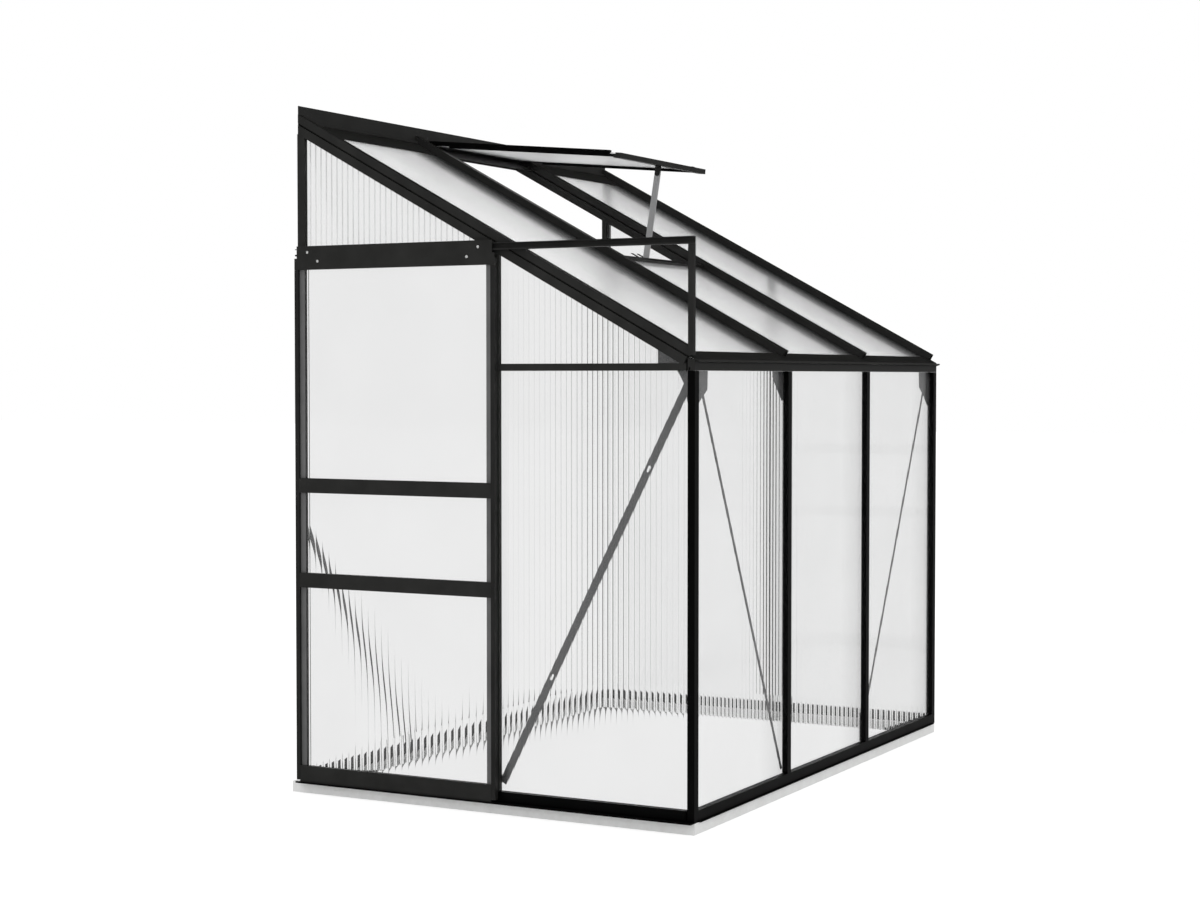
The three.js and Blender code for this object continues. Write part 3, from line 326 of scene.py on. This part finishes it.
def meets_far_base(tree):
    """Give 1 where the camera's straight line of sight meets the far base or its sill.

    This is worked out from the camera's place, so it is right for the photo's view alone.
    """
    place = add(tree, "ShaderNodeNewGeometry").outputs["Position"]
    sight = add(tree, "ShaderNodeVectorMath", operation="SUBTRACT")
    join(tree, place, sight.inputs[0])
    sight.inputs[1].default_value = camera_place
    split = add(tree, "ShaderNodeSeparateXYZ")
    join(tree, sight.outputs[0], split.inputs[0])
    heights = []
    for axis, far in (("X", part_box("base_far_end")[0].x), ("Y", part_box("base_rear")[0].y)):
        fall = math_node(tree, "DIVIDE", split.outputs["Z"], split.outputs[axis])
        reach = far - getattr(camera_place, axis.lower())
        heights.append(math_node(tree, "MULTIPLY_ADD", fall, reach, camera_place.z))
    height = math_node(tree, "MAXIMUM", heights[0], heights[1])
    above = math_node(tree, "GREATER_THAN", height, 0)
    below = math_node(tree, "LESS_THAN", height, web_top)
    return math_node(tree, "MULTIPLY", above, below)


def fluted_normal(tree, axis, count, aside_share, tilt, lift):
    """Bend the normal from side to side across the flutes, and along z by lift at the webs.

    A lift below 0 turns the view upward. Only the face by which the view enters is bent, and
    the lift is given only where meets_far_base gives 1.

    The webs lie beside the middle of a flute and stop short of its edges.
    """
    square = math_node(tree, "MULTIPLY", aside_share, aside_share)
    narrow = math_node(tree, "SQRT", math_node(tree, "MULTIPLY_ADD", square, -flute_curl, 1))
    wave = math_node(tree, "DIVIDE", aside_share, narrow)
    least, most = 1 - flute_unevenness, 1 + flute_unevenness
    uneven = add(tree, "ShaderNodeTexWhiteNoise", noise_dimensions="1D")
    join(tree, math_node(tree, "FLOOR", count), uneven.inputs["W"])
    reach = math_node(
        tree, "MULTIPLY", wave, spread(tree, uneven.outputs["Value"], least * tilt, most * tilt)
    )
    geometry = add(tree, "ShaderNodeNewGeometry")
    facing = math_node(tree, "SUBTRACT", 1, geometry.outputs["Backfacing"])
    signed = math_node(tree, "MULTIPLY", reach, facing)
    aside = add(tree, "ShaderNodeCombineXYZ")
    join(tree, signed, aside.inputs[axis])
    if lift:
        outward = math_node(tree, "ABSOLUTE", aside_share)
        slant = math_node(tree, "MULTIPLY", grey_steps(tree, outward, web_steps), lift)
        raised = math_node(tree, "MULTIPLY", slant, meets_far_base(tree))
        join(tree, math_node(tree, "MULTIPLY", raised, facing), aside.inputs["Z"])
    total = add(tree, "ShaderNodeVectorMath", operation="ADD")
    join(tree, geometry.outputs["Normal"], total.inputs[0])
    join(tree, aside.outputs[0], total.inputs[1])
    unit = add(tree, "ShaderNodeVectorMath", operation="NORMALIZE")
    join(tree, total.outputs[0], unit.inputs[0])
    return unit.outputs[0]


def twin_wall(name, axis, pitch, tilt, lift, rough, clear, ior, shade=no_shade, milk=0.0):
    """Clear fluted sheet; lamps pass through it to what is behind.

    Across its width a painted shadow of the bar beside it darkens it in steps, and milk shows its
    ribs.
    """
    material, tree, output = new_material(name)
    shader = add(tree, "ShaderNodeBsdfPrincipled")
    point = object_point(tree)
    haze = noise(tree, point, 5, 4)
    plain = ramp(tree, haze, 0.25, 0.8, (0.955, 0.956, 0.956), (0.985, 0.986, 0.986))
    share = add(tree, "ShaderNodeSeparateXYZ")
    join(tree, add(tree, "ShaderNodeTexCoord").outputs["Generated"], share.inputs[0])
    # Painted shadow: the base colour darkens in steps towards the bar at one edge of the sheet.
    painted_bar_shadow = grey_steps(tree, share.outputs["X"], shade)
    shaded = add(tree, "ShaderNodeVectorMath", operation="MULTIPLY")
    join(tree, plain, shaded.inputs[0])
    join(tree, painted_bar_shadow, shaded.inputs[1])
    tone = shaded.outputs[0]
    join(tree, tone, shader.inputs["Base Color"])
    shader.inputs["Roughness"].default_value = rough
    shader.inputs["IOR"].default_value = ior
    shader.inputs["Transmission Weight"].default_value = clear
    count, aside_share = flute_places(tree, point, axis, pitch)
    bent = fluted_normal(tree, axis, count, aside_share, tilt, lift)
    join(tree, bent, shader.inputs["Normal"])
    rib = add(tree, "ShaderNodeBsdfTranslucent")
    join(tree, tone, rib.inputs["Color"])
    outward = math_node(tree, "ABSOLUTE", aside_share)
    at_rib = math_node(tree, "GREATER_THAN", outward, rib_edge)
    sheet = add(tree, "ShaderNodeMixShader")
    join(tree, math_node(tree, "MULTIPLY", at_rib, milk), sheet.inputs["Fac"])
    join(tree, shader.outputs[0], sheet.inputs[1])
    join(tree, rib.outputs[0], sheet.inputs[2])
    lamp_pass = add(tree, "ShaderNodeBsdfTransparent")
    lamp_pass.inputs["Color"].default_value = lamp_tint
    path = add(tree, "ShaderNodeLightPath")
    mix = add(tree, "ShaderNodeMixShader")
    join(tree, path.outputs["Is Shadow Ray"], mix.inputs["Fac"])
    join(tree, sheet.outputs[0], mix.inputs[1])
    join(tree, lamp_pass.outputs[0], mix.inputs[2])
    join(tree, mix.outputs[0], output.inputs["Surface"])
    return material


def dress(names, material):
    """Give nodes their material."""
    for name in names:
        slots = nodes[name].data.materials
        slots.clear()
        slots.append(material)


def dress_frame():
    """Give every carried-over node its finish, with painted shade and painted light on some pieces.
    """
    coat = powder_coat("dark_aluminium", (0.017, 0.017, 0.0162), (0.024, 0.024, 0.0229), 0.12)
    # Painted shade: a near-black copy of the coat for the corner and front posts, sills and vent
    # side bars.
    shaded_copy_coat = powder_coat("painted_shade_coat", (0.0008, 0.0008, 0.0008), (0.002, 0.002, 0.002), 0.1)
    # Door stiles: a slightly darker copy of the coat, with painted light on the recessed ledge
    # faces.
    stile = powder_coat(
        "stile_coat_painted_light",
        (0.014, 0.014, 0.0135),
        (0.02, 0.02, 0.0192),
        0.12,
        ((0.1, 0.1, 0.1), (0.13, 0.13, 0.13)),
        nodes["door_stile_front"].bound_box[0][0] + stile_step,
    )
    steel = galvanised_steel()
    # Painted shade: braces and gussets take a dark copy of the grey aluminium, standing in for the
    # shade they lie in.
    painted_shade_brace = mill_aluminium("brace_metal_painted_shade", (0.06, 0.06, 0.061), (0.09, 0.09, 0.092))
    mill = mill_aluminium("grey_aluminium", (0.36, 0.362, 0.366), (0.46, 0.463, 0.467))
    nylon = moulded_nylon()
    for entry in frame["record"]["subparts"]:
        name = entry["node"]
        if name.startswith("door_stile"):
            dress([name], stile)
        elif name.startswith(painted_shade_starts):
            dress([name], shaded_copy_coat)
        elif entry["material_slot"] == "dark_aluminium":
            dress([name], coat)
        elif entry["material_slot"] == "pale_steel":
            dress([name], steel)
        elif name.startswith(("brace_", "gusset_")):
            dress([name], painted_shade_brace)
        elif entry["material_slot"] == "grey_aluminium":
            dress([name], mill)
        elif entry["material_slot"] == "dark_nylon":
            dress([name], nylon)
    plain_wall = (wall_rough, wall_clear, wall_ior)
    door = twin_wall("twin_wall_door", 1, door_pitch, flute_tilt, web_lift, *plain_wall)
    dress(["door_sheet_top", "door_sheet_middle", "door_sheet_bottom"], door)
    over = twin_wall("twin_wall_over_door", 1, over_pitch, flute_tilt, 0, *plain_wall, milk=rib_milk)
    dress(["gable_sheet_over_door"], over)
    fixed = twin_wall("twin_wall_gable", 1, fixed_pitch, flute_tilt, web_lift, *plain_wall)
    dress(
        [
            "gable_sheet_fixed_lower",
            "gable_sheet_fixed_upper",
            "far_gable_sheet_front",
            "far_gable_sheet_rear",
        ],
        fixed,
    )
    front_wall = (wall_rough, wall_clear, front_ior, front_shade)
    for i, pitch in enumerate(front_pitches):
        name = f"twin_wall_front_{i + 1}"
        front = twin_wall(name, 0, pitch, front_tilt, front_lift, *front_wall)
        dress([f"front_sheet_{i + 1}"], front)
    roof_wall = (roof_rough, roof_clear, roof_ior, roof_shade)
    roof = twin_wall("twin_wall_roof", 0, roof_pitch, roof_tilt, 0, *roof_wall)
    dress(["roof_sheet_1", "roof_sheet_2_lower", "roof_sheet_3"], roof)
    vent_wall = (roof_rough, vent_clear, roof_ior)
    vent = twin_wall("twin_wall_vent", 0, roof_pitch, roof_tilt, 0, *vent_wall)
    dress(["vent_sheet"], vent)


# Fasteners

def turned(name, profile, place, outward, steps=bolt_steps):
    """Turn a profile of (radius, height) round an axis that points outward."""
    mesh = bmesh.new()
    rings = []
    for radius, height in profile:
        if radius == 0:
            rings.append([mesh.verts.new((0, 0, height))])
            continue
        ring = []
        for i in range(steps):
            angle = 2 * math.pi * i / steps
            ring.append(mesh.verts.new((radius * math.cos(angle), radius * math.sin(angle), height)))
        rings.append(ring)
    for low, high in zip(rings, rings[1:]):
        for i in range(steps):
            j = (i + 1) % steps
            if len(low) == 1:
                mesh.faces.new((low[0], high[j], high[i]))
            elif len(high) == 1:
                mesh.faces.new((low[i], low[j], high[0]))
            else:
                mesh.faces.new((low[i], low[j], high[j], high[i]))
    bmesh.ops.recalc_face_normals(mesh, faces=mesh.faces)
    turn = Vector((0, 0, 1)).rotation_difference(Vector(outward)).to_matrix().to_4x4()
    mesh.transform(Matrix.Translation(Vector(place)) @ turn)
    data = bpy.data.meshes.new(name)
    mesh.to_mesh(data)
    mesh.free()
    for polygon in data.polygons:
        polygon.use_smooth = True
    piece = bpy.data.objects.new(name, data)
    bpy.context.scene.collection.objects.link(piece)
    return piece


def dome_bolt(name, place, outward, material, body):
    """A washer with a low domed bolt head that has a round dimple."""
    profile = [
        (0, 0),
        (washer_radius, 0),
        (washer_radius, washer_height),
        (bolt_radius, washer_height),
        (bolt_radius * 0.96, washer_height + bolt_height * 0.45),
        (bolt_radius * 0.75, washer_height + bolt_height * 0.85),
        (bolt_radius * 0.45, washer_height + bolt_height),
        (bolt_radius * 0.38, washer_height + bolt_height * 0.5),
        (0, washer_height + bolt_height * 0.5),
    ]
    piece = turned(name, profile, place, outward)
    piece.data.materials.append(material)
    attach(piece, body)
    return piece


def door_bolts(zinc):
    """The four bolts on the hanger plate: two at the wheels and two beside them."""
    low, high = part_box("door_top_rail")
    for end in ("front", "rear"):
        wheel_low, wheel_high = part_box(f"door_wheel_{end}")
        middle = (wheel_low + wheel_high) / 2
        inward = 1 if end == "front" else -1
        upper = (low.x, middle.y, middle.z)
        lower = (low.x, middle.y + inward * lower_bolt_inward, middle.z - lower_bolt_drop)
        dome_bolt(f"hanger_bolt_{end}_upper", upper, (-1, 0, 0), zinc, "door")
        dome_bolt(f"hanger_bolt_{end}_lower", lower, (-1, 0, 0), zinc, "door")


# Stage

def light_path_share(tree, names):
    """Give 1 for rays of any of the named kinds."""
    path = add(tree, "ShaderNodeLightPath")
    total = path.outputs[names[0]]
    for name in names[1:]:
        total = math_node(tree, "MAXIMUM", total, path.outputs[name])
    return total


def lay_floor():
    """A pale floor that looks white and keeps a faint shadow of the object.

    It has its own plain brightness for the camera, for rays through a sheet and for gloss.
    """
    mesh = bpy.data.meshes.new("floor")
    half = floor_size / 2
    corners = [(-half, -half, 0), (half, -half, 0), (half, half, 0), (-half, half, 0)]
    mesh.from_pydata(corners, [], [(0, 1, 2, 3)])
    floor = bpy.data.objects.new("floor", mesh)
    bpy.context.scene.collection.objects.link(floor)
    material, tree, output = new_material("floor")
    matt = add(tree, "ShaderNodeBsdfDiffuse")
    matt.inputs["Color"].default_value = floor_tone
    dim = add(tree, "ShaderNodeBsdfDiffuse")
    dim.inputs["Color"].default_value = floor_seen_tone
    glow = add(tree, "ShaderNodeEmission")
    glow.inputs["Strength"].default_value = floor_glow
    seen = add(tree, "ShaderNodeAddShader")
    join(tree, dim.outputs[0], seen.inputs[0])
    join(tree, glow.outputs[0], seen.inputs[1])
    behind = add(tree, "ShaderNodeEmission")
    behind.inputs["Strength"].default_value = seen_through_strength
    mirrored = add(tree, "ShaderNodeEmission")
    mirrored.inputs["Strength"].default_value = floor_gloss
    gloss = add(tree, "ShaderNodeMixShader")
    join(tree, light_path_share(tree, ["Is Glossy Ray"]), gloss.inputs["Fac"])
    join(tree, matt.outputs[0], gloss.inputs[1])
    join(tree, mirrored.outputs[0], gloss.inputs[2])
    through = add(tree, "ShaderNodeMixShader")
    join(tree, light_path_share(tree, ["Is Transmission Ray"]), through.inputs["Fac"])
    join(tree, gloss.outputs[0], through.inputs[1])
    join(tree, behind.outputs[0], through.inputs[2])
    mix = add(tree, "ShaderNodeMixShader")
    join(tree, light_path_share(tree, ["Is Camera Ray"]), mix.inputs["Fac"])
    join(tree, through.outputs[0], mix.inputs[1])
    join(tree, seen.outputs[0], mix.inputs[2])
    join(tree, mix.outputs[0], output.inputs["Surface"])
    mesh.materials.append(material)


def light_world():
    """White to the camera and through the sheets, and a plain soft room light otherwise."""
    world = bpy.data.worlds.new("studio")
    bpy.context.scene.world = world
    world.use_nodes = True
    tree = world.node_tree
    tree.nodes.clear()
    output = add(tree, "ShaderNodeOutputWorld")
    direction = add(tree, "ShaderNodeTexCoord").outputs["Generated"]
    toward = add(tree, "ShaderNodeVectorMath", operation="DOT_PRODUCT")
    toward.inputs[1].default_value = gloss_side
    join(tree, direction, toward.inputs[0])
    gloss = add(tree, "ShaderNodeMapRange")
    gloss.inputs["From Min"].default_value = gloss_reach[0]
    gloss.inputs["From Max"].default_value = gloss_reach[1]
    gloss.inputs["To Min"].default_value = 0.0
    gloss.inputs["To Max"].default_value = gloss_light
    join(tree, toward.outputs["Value"], gloss.inputs["Value"])
    path = add(tree, "ShaderNodeLightPath")

    def choose(share, otherwise, value):
        node = add(tree, "ShaderNodeMix", data_type="FLOAT")
        join(tree, share, node.inputs["Factor"])
        for socket, given in ((node.inputs["A"], otherwise), (node.inputs["B"], value)):
            if isinstance(given, (int, float)):
                socket.default_value = given
            else:
                join(tree, given, socket)
        return node.outputs["Result"]

    strength = choose(path.outputs["Is Glossy Ray"], room_light, gloss.outputs["Result"])
    strength = choose(path.outputs["Is Transmission Ray"], strength, seen_through_strength)
    strength = choose(path.outputs["Is Camera Ray"], strength, white_strength)
    background = add(tree, "ShaderNodeBackground")
    background.inputs["Color"].default_value = white
    join(tree, strength, background.inputs["Strength"])
    join(tree, background.outputs[0], output.inputs["Surface"])


def light_lamps():
    """One soft sun from behind, above and to the right, as the photo's shadows show."""
    sun = bpy.data.lights.new("sun", "SUN")
    sun.energy = sun_strength
    sun.angle = sun_angle
    lamp = bpy.data.objects.new("sun", sun)
    lamp.visible_glossy = False
    lamp.visible_transmission = False
    lamp.rotation_mode = "QUATERNION"
    lamp.rotation_quaternion = Vector((0, 0, -1)).rotation_difference(sun_direction)
    bpy.context.scene.collection.objects.link(lamp)


def place_camera():
    data = bpy.data.cameras.new("camera")
    data.lens = camera_lens
    data.sensor_width = sensor_width
    data.sensor_fit = "HORIZONTAL"
    data.clip_end = sight_length
    camera = bpy.data.objects.new("camera", data)
    bpy.context.scene.collection.objects.link(camera)
    camera.location = camera_place
    level = math.cos(camera_dip)
    look = Vector(
        (
            level * math.cos(camera_heading),
            level * math.sin(camera_heading),
            -math.sin(camera_dip),
        )
    )
    camera.rotation_euler = look.to_track_quat("-Z", "Y").to_euler()
    bpy.context.scene.camera = camera


place_camera()
light_world()
light_lamps()
lay_floor()
dress_frame()
door_bolts(bright_zinc())
bpy.context.scene.view_settings.view_transform = "Standard"
